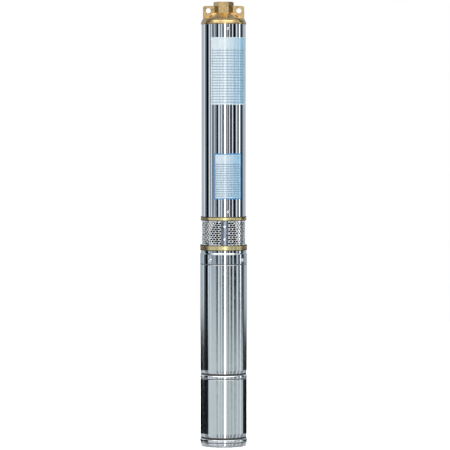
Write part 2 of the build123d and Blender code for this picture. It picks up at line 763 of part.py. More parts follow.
# Valve cage: three legs on the seat that carry the guide of the poppet's stem
with BuildPart() as valve_cage:
    with BuildSketch(Plane.XY.offset(skirt_bottom)):
        with PolarLocations(cage_leg_inner + cage_leg_depth / 2, cage_legs):
            Rectangle(cage_leg_depth, cage_leg_width)
    extrude(amount=cage_height)
    with BuildSketch(Plane.XY.offset(skirt_bottom + cage_height - cage_top_thickness)):
        Circle(cage_hub_radius)
        with PolarLocations(cage_leg_inner / 2, cage_legs):
            Rectangle(cage_leg_inner, cage_leg_width)
        Circle(stem_radius + running_clearance, mode=Mode.SUBTRACT)
    extrude(amount=cage_top_thickness)
valve_cage.part.label = "valve_cage"
export_step(valve_cage.part, "parts/valve_cage.step")

# Valve poppet: a disc on the seat with a stem in the cage; the stem's collar stops it when open
poppet_bottom = skirt_bottom + face_clearance
cage_top = skirt_bottom + cage_height
collar_stop = cage_top - cage_top_thickness - valve_travel - face_clearance
with BuildPart() as valve_poppet:
    with BuildSketch(Plane.XY.offset(poppet_bottom)):
        Circle(poppet_radius)
    extrude(amount=poppet_thickness)
    with BuildSketch(Plane.XY.offset(poppet_bottom + poppet_thickness)):
        Circle(stem_collar_radius)
    extrude(amount=collar_stop - poppet_bottom - poppet_thickness)
    with BuildSketch(Plane.XY.offset(collar_stop)):
        Circle(stem_radius)
    extrude(amount=cage_top + stem_overrun - collar_stop)
valve_poppet.part.label = "valve_poppet"
export_step(valve_poppet.part, "parts/valve_poppet.step")

# Pump tube: the polished shell round the stages, drilled for the two lock screws
lock_levels = [pump_tube_bottom + lock_screw_offset, pump_tube_top - lock_screw_offset]
lock_screw_face = pump_tube_radius - lock_screw_sink
with BuildPart() as pump_tube:
    with BuildSketch(Plane.XY.offset(pump_tube_bottom)):
        Circle(pump_tube_radius)
        Circle(pump_bore, mode=Mode.SUBTRACT)
    extrude(amount=pump_tube_length)
    with BuildSketch(*[outward(lock_screw_angle, pump_tube_radius, level) for level in lock_levels]):
        Circle(lock_screw_radius + screw_clearance)
    extrude(amount=-pump_tube_wall - cut_margin, mode=Mode.SUBTRACT)
pump_tube.part.label = "pump_tube"
export_step(pump_tube.part, "parts/pump_tube.step")

# Tube lock screws: short grub screws in the tube's wall, against the bracket's spigot and the head's skirt
with BuildPart() as tube_lock_screws:
    with BuildSketch(*[outward(lock_screw_angle, lock_screw_face, level) for level in lock_levels]):
        Circle(lock_screw_radius)
    extrude(amount=pump_bore + 2 * face_clearance - lock_screw_face)
tube_lock_screws.part.label = "tube_lock_screws"
export_step(tube_lock_screws.part, "parts/tube_lock_screws.step")

# Discharge head: skirt, rim, round shoulder and cone in one casting, chamfered hexagonal collar, two rope ears
cone_slope = cone_height / (shoulder_radius - collar_corner)
chamfer_drop = (collar_chamfer + cut_margin) * tan(radians(collar_chamfer_angle))
ear_root = collar_flats / 2
ear_top = head_top - ear_drop
skirt_inner = pump_spigot_radius - skirt_wall
head_cavity_top = cone_top - head_wall
head_cavity_corner = pump_tube_top + cavity_rise
with BuildPart() as discharge_head:
    with BuildSketch(Plane.XZ):
        with BuildLine():
            SagittaArc((shoulder_radius, shoulder_top), (rim_radius - rim_step, rim_top), shoulder_bulge)
            Polyline(
                (shoulder_radius, shoulder_top),
                (collar_corner, cone_top),
                (outlet_radius, cone_top),
                (outlet_radius, head_cavity_top),
                (skirt_inner, head_cavity_corner),
                (skirt_inner, skirt_bottom),
                (pump_spigot_radius, skirt_bottom),
                (pump_spigot_radius, pump_tube_top),
                (rim_radius, pump_tube_top),
                (rim_radius, rim_top),
                (rim_radius - rim_step, rim_top),
            )
        make_face()
    revolve(axis=Axis.Z)
    with BuildSketch(Plane.XY.offset(cone_top)):
        RegularPolygon(collar_flats / 2, 6, major_radius=False)
        Circle(outlet_radius, mode=Mode.SUBTRACT)
    extrude(amount=collar_height)
    with BuildSketch(Plane.XZ):
        with BuildLine():
            Polyline(
                (collar_corner - collar_chamfer, head_top),
                (collar_corner + cut_margin, head_top),
                (collar_corner + cut_margin, head_top - chamfer_drop),
                close=True,
            )
        make_face()
    revolve(axis=Axis.Z, mode=Mode.SUBTRACT)
    with BuildSketch(Plane.XZ):
        with BuildLine():
            Polyline(
                (ear_root, ear_top),
                (ear_root, cone_top - ear_sink),
                (ear_reach, cone_top - cone_slope * (ear_reach - collar_corner) - ear_sink),
                (ear_reach, ear_top),
                close=True,
            )
        make_face()
        fillet(vertices().sort_by(Axis.X)[-2:].sort_by(Axis.Y)[-1], ear_corner)
        with Locations((ear_hole_reach, head_top - ear_hole_drop)):
            Circle(ear_hole_radius, mode=Mode.SUBTRACT)
        mirror(about=Plane.YZ)
    extrude(amount=ear_thickness / 2, both=True)
discharge_head.part.label = "discharge_head"
export_step(discharge_head.part, "parts/discharge_head.step")
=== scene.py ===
# %% [markdown]
# # A submersible borehole pump
# The pump is a slim column: a brass head that screws to the rising pipe, a polished tube round the pump
# stages, a perforated strainer where the water comes in, and the motor below, with a short can for its
# capacitor at the very bottom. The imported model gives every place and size. This script keeps that model
# as a fixed frame and gives each piece that shows its real surface: rolled lips, rounded edges, punched
# holes, screw heads and metal finishes.

import json
from math import asin, atan2, cos, degrees, pi, radians, sin, tau

import bmesh
import bpy
from mathutils import Matrix, Vector


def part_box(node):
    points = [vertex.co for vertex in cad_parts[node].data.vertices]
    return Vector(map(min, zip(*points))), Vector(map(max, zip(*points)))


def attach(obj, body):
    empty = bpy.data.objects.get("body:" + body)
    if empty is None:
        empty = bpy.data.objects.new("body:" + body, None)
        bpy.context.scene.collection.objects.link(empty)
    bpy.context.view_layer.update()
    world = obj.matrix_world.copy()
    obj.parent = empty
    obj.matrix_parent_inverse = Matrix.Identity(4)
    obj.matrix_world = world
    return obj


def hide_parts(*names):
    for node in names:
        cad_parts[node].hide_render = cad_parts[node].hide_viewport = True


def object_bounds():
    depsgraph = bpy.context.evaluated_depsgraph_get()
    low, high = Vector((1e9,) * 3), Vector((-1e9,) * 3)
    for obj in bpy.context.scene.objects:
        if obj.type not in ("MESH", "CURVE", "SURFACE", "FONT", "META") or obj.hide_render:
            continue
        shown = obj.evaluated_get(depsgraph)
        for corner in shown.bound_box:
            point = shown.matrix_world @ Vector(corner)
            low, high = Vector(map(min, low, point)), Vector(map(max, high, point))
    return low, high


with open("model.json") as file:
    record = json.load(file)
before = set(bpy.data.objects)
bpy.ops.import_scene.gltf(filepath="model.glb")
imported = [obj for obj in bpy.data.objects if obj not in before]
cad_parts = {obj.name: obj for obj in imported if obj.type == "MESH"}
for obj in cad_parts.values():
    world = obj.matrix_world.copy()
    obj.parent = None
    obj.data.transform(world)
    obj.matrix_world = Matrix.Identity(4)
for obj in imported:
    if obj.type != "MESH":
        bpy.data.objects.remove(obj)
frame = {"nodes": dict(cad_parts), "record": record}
cad_low, cad_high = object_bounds()
mm = 0.001
print("nodes", len(frame["nodes"]), "height in mm", round(cad_high.z / mm))

# %% [markdown]
# ## The camera
# The photograph was taken from far away with a long lens, a little above the middle of the pump, so its
# sides stay almost parallel and the rings curve only slightly. The lens follows from the distance and
# from how large the pump stands in the frame. No shift is used: the camera is tilted down as in the photo.

# %% Place the camera
picture_size = 450
sensor_width = 36 * mm
metres_per_pixel = 2.19 * mm
camera_distance = 5.69
horizon_row = 115
foot_row = 446.3
axis_column = 223.6

pixels_of_focus = camera_distance / metres_per_pixel
camera_height = (foot_row - horizon_row) * metres_per_pixel
camera_side = (picture_size / 2 - axis_column) * metres_per_pixel
tilt = (picture_size / 2 - horizon_row) / pixels_of_focus

camera_data = bpy.data.cameras.new("camera")
camera_data.sensor_width = sensor_width / mm
camera_data.lens = pixels_of_focus / picture_size * sensor_width / mm
camera_data.clip_end = 50
camera = bpy.data.objects.new("camera", camera_data)
camera.location = (camera_side, -camera_distance, camera_height)
camera.rotation_euler = (pi / 2 - tilt, 0, 0)
bpy.context.collection.objects.link(camera)
bpy.context.scene.camera = camera
print("lens in mm", round(camera_data.lens, 1), "height", round(camera_height, 3))

# %% [markdown]
# ## The studio
# A polished tube has hardly any colour of its own: what shows is the room. So the room is built the way a
# product photographer would, as a pale tent with narrow white lights and black cards standing round the
# pump. On a round tube each card becomes one vertical streak. The cards end a little below the pump's
# middle, and further down only two wide dark cards at the sides are left, which draw the black edges of
# the motor. The tent is a World, because it then lies behind everything and costs no noise. The direction
# of a ray gives its angle round the pump and its height, and each card is a soft-edged window on them.

# %% Node helpers for the World and the finishes
def wire(tree, kind, inputs=None, **settings):
    """Adds a node, sets its options, and links or sets its inputs by name or number."""
    node = tree.nodes.new(kind)
    for key, value in settings.items():
        setattr(node, key, value)
    for key, value in (inputs or {}).items():
        if isinstance(value, bpy.types.NodeSocket):
            tree.links.new(value, node.inputs[key])
        else:
            node.inputs[key].default_value = value
    return node


def calculate(tree, operation, first, second=0.0):
    return wire(tree, "ShaderNodeMath", {0: first, 1: second}, operation=operation).outputs[0]


def blend_colours(tree, share, below, above):
    mix = wire(tree, "ShaderNodeMix", {"Factor": share}, data_type="RGBA")
    for socket, value in ((mix.inputs[6], below), (mix.inputs[7], above)):
        if isinstance(value, bpy.types.NodeSocket):
            tree.links.new(value, socket)
        else:
            socket.default_value = (*value, 1)
    return mix.outputs[2]


def fade(tree, value, start, end, low=0.0, high=1.0):
    inputs = {"Value": value, "From Min": start, "From Max": end, "To Min": low, "To Max": high}
    return wire(tree, "ShaderNodeMapRange", inputs, interpolation_type="SMOOTHSTEP").outputs[0]


print("helpers ready")

# %% Build the tent with its lights and cards
tent_colour = (0.46, 0.52, 0.58)
card_colour = (0.004, 0.005, 0.007)
grey_card_colour = (0.16, 0.19, 0.22)
strip_light_colour = (2.2, 2.25, 2.3)
pale_light_colour = (0.78, 0.84, 0.90)
low_tent_colour = (0.60, 0.66, 0.68)
table_colour = (0.56, 0.60, 0.64)
softbox_colour = (2.6, 2.55, 2.4)
card_edge = 0.8
card_foot = -5.4
card_full = -4.3

# Angle round the pump in degrees, counted from the camera towards its right, and the width of each card.
high_cards = [(-73, 5), (-58, 12), (-40, 9)]
grey_cards = [(-108, 12), (-16, 6), (-5, 5), (79, 5), (101, 8), (119, 9)]
black_cards = [(-94, 18), (-32, 9), (-0.5, 6), (15, 6), (26, 6.5), (39.5, 11.5), (59.5, 16), (85.5, 7), (110, 10)]
black_cards += [(-172, 9), (171, 8)]
back_cards = [(-152, 8), (-133, 5), (134, 7), (153, 10)]
pale_lights = [(-121, 8), (-80, 6), (-67, 5), (-23.5, 8), (-11, 5), (31, 5.5), (48, 5.5), (72, 6.5)]
strip_lights = [(7.5, 10, 1.0), (92.5, 6.5, 0.1)]

world = bpy.data.worlds.new("tent")
world.use_nodes = True
bpy.context.scene.world = world
tree = world.node_tree
tree.nodes.clear()
direction = wire(tree, "ShaderNodeTexCoord").outputs["Generated"]
parts = wire(tree, "ShaderNodeSeparateXYZ", {0: direction})
toward_camera = calculate(tree, "MULTIPLY", parts.outputs["Y"], -1.0)
turn = calculate(tree, "ARCTAN2", parts.outputs["X"], toward_camera)
azimuth = calculate(tree, "MULTIPLY", turn, degrees(1))
rise = calculate(tree, "MULTIPLY", calculate(tree, "ARCSINE", parts.outputs["Z"]), degrees(1))


def window(centre, width):
    """1 inside a card's span of azimuth, 0 outside it, with a soft edge."""
    away = calculate(tree, "ABSOLUTE", calculate(tree, "SUBTRACT", azimuth, centre))
    return fade(tree, away, width / 2 - card_edge, width / 2 + card_edge, 1.0, 0.0)


on_the_table = fade(tree, rise, -8.6, -10.4, 0.0, 0.55)
standing = calculate(tree, "MAXIMUM", fade(tree, rise, card_foot, card_full, 0.12, 1.0), on_the_table)
above_the_motor = fade(tree, rise, -3.2, -2.3)
low_down = fade(tree, rise, -4.2, -5.0)
colour = blend_colours(tree, low_down, tent_colour, low_tent_colour)
colour = blend_colours(tree, fade(tree, rise, -8.6, -10.4), colour, table_colour)
cards = (
    (high_cards, grey_card_colour, above_the_motor),
    (grey_cards, grey_card_colour, standing),
    (black_cards, card_colour, standing),
    (back_cards, card_colour, on_the_table),
    (pale_lights, pale_light_colour, standing),
)
for places, card, strength in cards:
    for centre, width in places:
        colour = blend_colours(tree, calculate(tree, "MULTIPLY", window(centre, width), strength), colour, card)
side_distance = calculate(tree, "ABSOLUTE", calculate(tree, "SUBTRACT", azimuth, 16.0))
at_the_sides = fade(tree, side_distance, 94.0, 100.0)
beside_the_foot = calculate(tree, "MULTIPLY", low_down, fade(tree, rise, -8.6, -10.4, 1.0, 0.0))
colour = blend_colours(tree, calculate(tree, "MULTIPLY", at_the_sides, beside_the_foot), colour, card_colour)
for centre, width, low_share in strip_lights:
    strength = fade(tree, rise, card_full, -2.3, low_share, 1.0)
    colour = blend_colours(tree, calculate(tree, "MULTIPLY", window(centre, width), strength), colour, strip_light_colour)
overhead = fade(tree, rise, 55.0, 75.0)
colour = blend_colours(tree, overhead, colour, (0.50, 0.52, 0.55))
above_camera = calculate(tree, "MULTIPLY", fade(tree, rise, 9.0, 16.0), fade(tree, rise, 42.0, 55.0, 1.0, 0.0))
softbox = calculate(tree, "MULTIPLY", above_camera, fade(tree, calculate(tree, "ABSOLUTE", azimuth), 45, 80, 1.0, 0.0))
colour = blend_colours(tree, softbox, colour, softbox_colour)
white = (1.0, 1.0, 1.0)
ray = wire(tree, "ShaderNodeLightPath")
dimmed = calculate(tree, "MULTIPLY", ray.outputs["Is Diffuse Ray"], 0.5)
colour = blend_colours(tree, dimmed, colour, (0, 0, 0))
colour = blend_colours(tree, ray.outputs["Is Camera Ray"], colour, white)
background = wire(tree, "ShaderNodeBackground", {"Color": colour, "Strength": 1.0})
wire(tree, "ShaderNodeOutputWorld", {"Surface": background.outputs[0]})
bpy.context.scene.view_settings.view_transform = "Standard"
print("cards and lights", len(grey_cards) + len(black_cards) + len(pale_lights) + len(strip_lights))

# %% [markdown]
# Two large soft lights in front of the pump light what is not a mirror: the stickers, the rubber and the
# plastic. They are kept out of reflections, so the streaks stay the tent's. The floor is a wide pale
# sheet under a lamp of its own, bright enough to run into the white background without an edge.

# %% Add the soft lights and the floor
def soft_light(name, place, target, size, power):
    data = bpy.data.lights.new(name, "AREA")
    data.size = size
    data.energy = power
    light = bpy.data.objects.new(name, data)
    light.location = place
    light.rotation_euler = (Vector(target) - Vector(place)).to_track_quat("-Z", "Y").to_euler()
    light.visible_camera = False
    light.visible_glossy = False
    bpy.context.collection.objects.link(light)
    return light


middle = (0, 0, cad_high.z / 2)
soft_light("front_left", (-2.2, -2.6, 1.4), middle, 1.6, 8)
soft_light("front_right", (2.2, -2.6, 1.4), middle, 1.6, 8)
soft_light("back", (0, 3.0, 1.6), middle, 1.6, 20)
soft_light("overhead", (0, 0, 3.2), (0, 0, 0), 3.0, 260)

floor_radius = 3.5
floor_drop = 0.3 * mm
sheet = bmesh.new()
bmesh.ops.create_circle(sheet, cap_ends=True, segments=96, radius=floor_radius)
bmesh.ops.translate(sheet, verts=sheet.verts, vec=(0, 0, -floor_drop))
floor_mesh = bpy.data.meshes.new("floor")
sheet.to_mesh(floor_mesh)
sheet.free()
floor = bpy.data.objects.new("floor", floor_mesh)
floor.visible_glossy = False
bpy.context.collection.objects.link(floor)
floor_paint = bpy.data.materials.new("pale_floor")
floor_paint.use_nodes = True
floor_shader = floor_paint.node_tree.nodes["Principled BSDF"]
floor_shader.inputs["Base Color"].default_value = (0.95, 0.95, 0.95, 1)
floor_shader.inputs["Roughness"].default_value = 0.9
floor_mesh.materials.append(floor_paint)
print("floor radius", floor_radius)

# %% [markdown]
# ## Metal finishes
# The tubes are stainless steel sheet, ground and polished round the tube. The fine grooves of the
# polishing run round it, so reflections smear along the tube and stay sharp across it. An anisotropic
# metal does that, with a tangent that runs round the Z axis. Very slight long waves in the sheet bend the
# streaks, and a faint grain breaks up the gloss.

# %% Define the steel finishes
def new_finish(name):
    material = bpy.data.materials.new(name)
    material.use_nodes = True
    tree = material.node_tree
    return material, tree, tree.nodes["Principled BSDF"]


def object_grain(tree, scale, detail=3.0, roughness=0.5, stretch=(1, 1, 1)):
    """A noise on object coordinates, in waves for each metre, stretched along an axis by a small factor there."""
    place = wire(tree, "ShaderNodeTexCoord").outputs["Object"]
    mapped = wire(tree, "ShaderNodeMapping", {"Vector": place, "Scale": stretch}).outputs[0]
    inputs = {"Vector": mapped, "Scale": scale, "Detail": detail, "Roughness": roughness}
    return wire(tree, "ShaderNodeTexNoise", inputs).outputs["Fac"]


def steel_finish(name, colour, gloss, grain, waves, brushed=0.0):
    """Stainless steel: gloss is its roughness, grain how far that varies, waves the height of the sheet's dents."""
    material, tree, shader = new_finish(name)
    shader.inputs["Metallic"].default_value = 1.0
    speckle = object_grain(tree, 260, detail=6, stretch=(1, 1, 0.35))
    tree.links.new(fade(tree, speckle, 0.3, 0.7, gloss - grain, gloss + grain), shader.inputs["Roughness"])
    stain = object_grain(tree, 14, detail=4, stretch=(1, 1, 0.3))
    darker = tuple(channel * 0.93 for channel in colour)
    tree.links.new(blend_colours(tree, fade(tree, stain, 0.35, 0.7), colour, darker), shader.inputs["Base Color"])
    dents = object_grain(tree, 22, detail=1, stretch=(1, 1, 0.25))
    bump = wire(tree, "ShaderNodeBump", {"Height": dents, "Strength": 1.0, "Distance": waves})
    tree.links.new(bump.outputs[0], shader.inputs["Normal"])
    if brushed:
        shader.inputs["Anisotropic"].default_value = brushed
        shader.inputs["Anisotropic Rotation"].default_value = 0.25
        round_it = wire(tree, "ShaderNodeTangent", direction_type="RADIAL", axis="Z")
        tree.links.new(round_it.outputs[0], shader.inputs["Tangent"])
    return material


pump_steel = steel_finish("polished_pump_tube", (0.86, 0.88, 0.90), 0.06, 0.015, 0.012 * mm, brushed=0.7)
# Painted shade: the seam strip is the same sheet steel, coloured far darker and bluer.
shaded_strip_steel = steel_finish("seam_strip_painted_shade", (0.27, 0.31, 0.36), 0.18, 0.04, 0.01 * mm)
motor_steel = steel_finish("polished_motor_tube", (0.80, 0.84, 0.85), 0.08, 0.02, 0.012 * mm, brushed=0.7)
turned_steel = steel_finish("turned_steel", (0.88, 0.91, 0.93), 0.09, 0.03, 0.008 * mm, brushed=0.5)
# The cover's steel is coloured darker than the other turned steel: painted shade under the brass band.
shaded_cover_steel = steel_finish("turned_cover_painted_shade", (0.64, 0.68, 0.71), 0.08, 0.02, 0.008 * mm, brushed=0.5)
sheet_steel = steel_finish("punched_sheet", (0.95, 0.97, 0.99), 0.15, 0.05, 0.02 * mm)
sheet_steel.node_tree.nodes["Principled BSDF"].inputs["Metallic"].default_value = 0.86
# Painted shade: a near-black steel for the inner faces of the strainer sheet, so the inside looks dark through the
# holes.
inside_shade_steel = steel_finish("sheet_inside_painted_shade", (0.10, 0.11, 0.12), 0.45, 0.05, 0.02 * mm)
bright_steel = steel_finish("bright_screws", (0.86, 0.87, 0.88), 0.14, 0.04, 0.005 * mm)
ground_steel = steel_finish("ground_shaft", (0.66, 0.68, 0.70), 0.22, 0.05, 0.005 * mm)
print("steel finishes ready")

# %% [markdown]
# The head and the two rings are brass. They are cast, then turned and tumbled: the metal is warm and
# golden where it is rubbed bright, and dull and brownish in the flats and corners, where the casting skin
# stays. Two noises stand in for this: a broad one lays the bright and the dull in random patches, and a
# fine one gives the grainy skin.

# %% Define the brass finish
def brass_finish(name, bright, dull, gloss, skin, side_shade=None):
    material, tree, shader = new_finish(name)
    shader.inputs["Metallic"].default_value = 1.0
    patches = object_grain(tree, 55, detail=5, roughness=0.6)
    colour = blend_colours(tree, fade(tree, patches, 0.38, 0.66), bright, dull)
    # Painted shade: darker brown patches only where X lies far from the axis, on the left and right sides of a ring
    # seen from the front.
    if side_shade:
        place = wire(tree, "ShaderNodeSeparateXYZ", {0: wire(tree, "ShaderNodeTexCoord").outputs["Object"]})
        toward_the_sides = fade(tree, calculate(tree, "ABSOLUTE", place.outputs["X"]), 0.028, 0.045)
        side_shade_patches = calculate(tree, "MULTIPLY", toward_the_sides, fade(tree, object_grain(tree, 30, detail=3), 0.36, 0.52))
        colour = blend_colours(tree, side_shade_patches, colour, side_shade)
    tree.links.new(colour, shader.inputs["Base Color"])
    tree.links.new(fade(tree, patches, 0.35, 0.65, gloss, gloss + 0.14), shader.inputs["Roughness"])
    pores = object_grain(tree, 900, detail=4, roughness=0.65)
    bump = wire(tree, "ShaderNodeBump", {"Height": pores, "Strength": 0.35, "Distance": skin})
    tree.links.new(bump.outputs[0], shader.inputs["Normal"])
    return material


cast_brass = brass_finish("cast_brass", (0.72, 0.53, 0.26), (0.52, 0.35, 0.17), 0.18, 0.08 * mm)
# Near-black brass for the bracket: its casting skin, darkened far below any brass as painted shade inside the
# strainer.
skin_and_shade_brass = brass_finish("casting_skin_and_painted_shade", (0.10, 0.07, 0.035), (0.05, 0.035, 0.02), 0.45, 0.2 * mm)
# Its last colour is the painted shade on the left and right sides of the bands.
turned_brass = brass_finish("turned_brass", (1.0, 0.88, 0.46), (0.88, 0.68, 0.32), 0.24, 0.03 * mm, (0.42, 0.27, 0.13))
print("brass finishes ready")

# %% [markdown]
# The pieces inside hardly show, but each has its own finish: copper windings, stacked laminations, cast
# aluminium end rings, black rubber, moulded plastic stages. Plain ones share one recipe, with a fine grain
# in the colour and the gloss.

# %% Define the inner finishes
def moulded_finish(name, colour, gloss, metallic=0.0, grain=400, depth=0.02 * mm, stretch=(1, 1, 1)):
    material, tree, shader = new_finish(name)
    shader.inputs["Metallic"].default_value = metallic
    specks = object_grain(tree, grain, detail=4, stretch=stretch)
    darker = tuple(channel * 0.78 for channel in colour)
    tree.links.new(blend_colours(tree, fade(tree, specks, 0.3, 0.7), colour, darker), shader.inputs["Base Color"])
    tree.links.new(fade(tree, specks, 0.3, 0.7, gloss, gloss + 0.12), shader.inputs["Roughness"])
    bump = wire(tree, "ShaderNodeBump", {"Height": specks, "Strength": 0.5, "Distance": depth})
    tree.links.new(bump.outputs[0], shader.inputs["Normal"])
    return material


inner_finishes = {
    "cast_brass": cast_brass,
    "screw_steel": bright_steel,
    "shaft_steel": ground_steel,
    "tube_steel": motor_steel,
    "casing_steel": turned_steel,
    "strainer_steel": sheet_steel,
    "bearing_steel": steel_finish("bearing_steel", (0.80, 0.81, 0.83), 0.10, 0.03, 0.002 * mm),
    "lamination": moulded_finish("stacked_laminations", (0.24, 0.25, 0.27), 0.45, 0.9, 60, stretch=(0.2, 0.2, 30)),
    "copper": moulded_finish("enamelled_copper", (0.72, 0.34, 0.17), 0.30, 0.9, 300, stretch=(1, 1, 0.1)),
    "aluminium": moulded_finish("cast_aluminium", (0.76, 0.77, 0.78), 0.38, 1.0, 500),
    "seal_carbon": moulded_finish("lapped_carbon", (0.06, 0.06, 0.065), 0.30),
    "seal_ceramic": moulded_finish("lapped_ceramic", (0.86, 0.84, 0.80), 0.20),
    "rubber": moulded_finish("moulded_rubber", (0.035, 0.035, 0.037), 0.55),
    "stage_plastic": moulded_finish("stage_plastic", (0.07, 0.075, 0.085), 0.42),
    "valve_plastic": moulded_finish("valve_plastic", (0.76, 0.75, 0.70), 0.35),
    "capacitor_can": moulded_finish("capacitor_can", (0.84, 0.84, 0.82), 0.28),
}
for row in frame["record"]["subparts"]:
    mesh = frame["nodes"][row["node"]].data
    mesh.materials.clear()
    mesh.materials.append(inner_finishes[row["material_slot"]])

# %% [markdown]
# ## Turned pieces
# Almost everything that shows is turned on a lathe or rolled from tube, so one helper spins a closed
# outline round the pump's axis. Real edges are never sharp: each outline point carries its own rounding,
# and the ring of edges that it becomes is bevelled. The seam where the spin meets itself is merged, and
# the faces are then made to point outwards.

# %% Helper for turned pieces
round_steps = 192
sharp_angle = radians(32)


def finished(name, shape, finish, body="pump"):
    """Makes a bmesh an object that rides on a body, with smooth faces and crisp corners."""
    mesh = bpy.data.meshes.new(name)
    shape.to_mesh(mesh)
    shape.free()
    mesh.shade_smooth()
    mesh.set_sharp_from_angle(angle=sharp_angle)
    mesh.materials.append(finish)
    piece = bpy.data.objects.new(name, mesh)
    bpy.context.collection.objects.link(piece)
    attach(piece, body)
    return even_shading(piece)


def even_shading(piece):
    """Lets the large faces rule the shading, so that rounded edges don't bend the look of the flat walls."""
    modifier = piece.modifiers.new("even_shading", "WEIGHTED_NORMAL")
    modifier.keep_sharp = True
    modifier.weight = 100
    return piece


def spun(outline, closed=True, steps=round_steps, rounding_segments=4):
    """Spins (radius, height, rounding) points, in millimetres, once round the axis."""
    shape = bmesh.new()
    corners = [shape.verts.new((radius * mm, 0, height * mm)) for radius, height, _ in outline]
    ends = corners[1:] + corners[:1] if closed else corners[1:]
    line = [shape.edges.new(pair) for pair in zip(corners, ends)]
    bmesh.ops.spin(
        shape, geom=corners + line, cent=(0, 0, 0), axis=(0, 0, 1), angle=tau, steps=steps, use_merge=True
    )
    bmesh.ops.remove_doubles(shape, verts=shape.verts, dist=0.001 * mm)
    bmesh.ops.recalc_face_normals(shape, faces=shape.faces)
    for radius, height, rounding in outline:
        if rounding:
            ring = [edge for edge in shape.edges if all(on_ring(vert, radius, height) for vert in edge.verts)]
            bmesh.ops.bevel(
                shape, geom=ring, offset=rounding * mm, offset_type="OFFSET", segments=rounding_segments,
                profile=0.5, affect="EDGES", material=-1, clamp_overlap=True,
            )
    return shape


def on_ring(vert, radius, height):
    level = abs(vert.co.z - height * mm) < 0.01 * mm
    return level and abs(vert.co.xy.length - radius * mm) < 0.01 * mm


def levels(node):
    """The node's outer radius, its bottom and its top, in millimetres."""
    low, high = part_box(node)
    return high.x / mm, low.z / mm, high.z / mm


print("turning helper ready")

# %% [markdown]
# The pump tube is plain but for its ends, which are cut square with the burr taken off. The motor tube and
# the can of the capacitor are rolled in over a groove at their lower ends: that is how the shells are
# locked on the pieces between them, and the rolled lip catches the light as a bright line.

# %% Turn the tubes
tube_wall = 1.5
pump_radius, pump_bottom, pump_top = levels("pump_tube")
motor_radius, motor_bottom, motor_tube_top = levels("motor_tube")
can_radius, can_bottom, can_top = levels("capacitor_shell")
lock_offset = 11.0


def tube_outline(radius, bottom, top, roll_in, roll_height):
    inside = radius - tube_wall
    return [
        (inside, top, 0.3),
        (radius, top, 1.1),
        (radius, bottom + roll_height, roll_height * 0.8),
        (radius - roll_in, bottom, 0.5),
        (inside - roll_in, bottom, 0.3),
        (inside, bottom + roll_height, 0),
    ]


pump_outline = [
    (pump_radius - tube_wall, pump_top, 0.3),
    (pump_radius, pump_top, 0.4),
    (pump_radius, pump_top - lock_offset + 6, 0),
    (pump_radius, pump_top - lock_offset - 6, 0),
    (pump_radius, pump_bottom + lock_offset + 6, 0),
    (pump_radius, pump_bottom + lock_offset - 6, 0),
    (pump_radius, pump_bottom, 0.4),
    (pump_radius - tube_wall, pump_bottom, 0.3),
]
pump_tube = finished("pump_tube_shell", spun(pump_outline), pump_steel)
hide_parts("pump_tube")

roll_in = 1.3
roll_height = 4.5
motor_tube = finished(
    "motor_tube_shell", spun(tube_outline(motor_radius, motor_bottom, motor_tube_top - 0.9, roll_in, roll_height)), motor_steel
)
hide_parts("motor_tube")
can = finished(
    "capacitor_can_shell", spun(tube_outline(can_radius, can_bottom, can_top - 1.3, roll_in, roll_height)), motor_steel
)
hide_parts("capacitor_shell")
print("tubes from", pump_bottom, "to", pump_top, "and", motor_bottom, "to", motor_tube_top)

# %% [markdown]
# ## Pieces between the shells
# Three turned steel pieces close the motor: the cover on top, the bearing housing whose ring stands as a
# bead between the two shells, and the cap at the foot. The cover has a shallow neck under the brass
# flange. The cap has a bead, a fine groove below it and a foot that curves in. Their insides follow the
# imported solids, because the cover carries the bearing and the shaft seal.

# %% Turn the cover, the housing and the cap
_, cover_bottom, motor_top = levels("motor_top_cover")
housing_radius, housing_bottom, housing_top = levels("lower_bearing_housing")
cap_radius, cap_foot, cap_spigot_top = levels("bottom_cap")
bore_radius = motor_radius - tube_wall - 0.1
bearing_seat = 20.0
bearing_depth = 12.0
shaft_hole = 9.3
seal_pocket = 14.0
seal_floor = motor_top - 17

cover_outline = [
    (bearing_seat, cover_bottom, 0.3),
    (bore_radius, cover_bottom, 0.5),
    (bore_radius, motor_tube_top + 0.2, 0),
    (motor_radius, motor_tube_top + 0.2, 0.5),
    (motor_radius, motor_top - 8.2, 0.7),
    (motor_radius - 1.5, motor_top - 6.0, 1.2),
    (motor_radius - 1.5, motor_top, 0.3),
    (seal_pocket, motor_top, 0.4),
    (seal_pocket, seal_floor, 0),
    (shaft_hole, seal_floor, 0.2),
    (shaft_hole, cover_bottom + bearing_depth, 0.2),
    (bearing_seat, cover_bottom + bearing_depth, 0),
]
# The darker cover steel is painted shade under the brass band.
cover = finished("motor_cover", spun(cover_outline), shaded_cover_steel)
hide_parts("motor_top_cover")

housing_outline = [
    (0, housing_bottom, 0),
    (bore_radius, housing_bottom, 0.5),
    (bore_radius, can_top, 0.2),
    (housing_radius - 0.3, can_top, 0.6),
    (housing_radius, can_top + 3.5, 1.5),
    (housing_radius - 0.6, motor_bottom - 4, 1.2),
    (bore_radius - 0.6, motor_bottom - 3.2, 0.4),
    (bore_radius - 0.6, housing_top, 0.5),
    (bearing_seat, housing_top, 0.3),
    (bearing_seat, housing_top - bearing_depth, 0),
    (shaft_hole, housing_top - bearing_depth, 0.2),
    (shaft_hole, can_top, 0),
    (0, can_top, 0),
]
housing = finished("joint_ring_housing", spun(housing_outline, closed=False), turned_steel)
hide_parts("lower_bearing_housing")

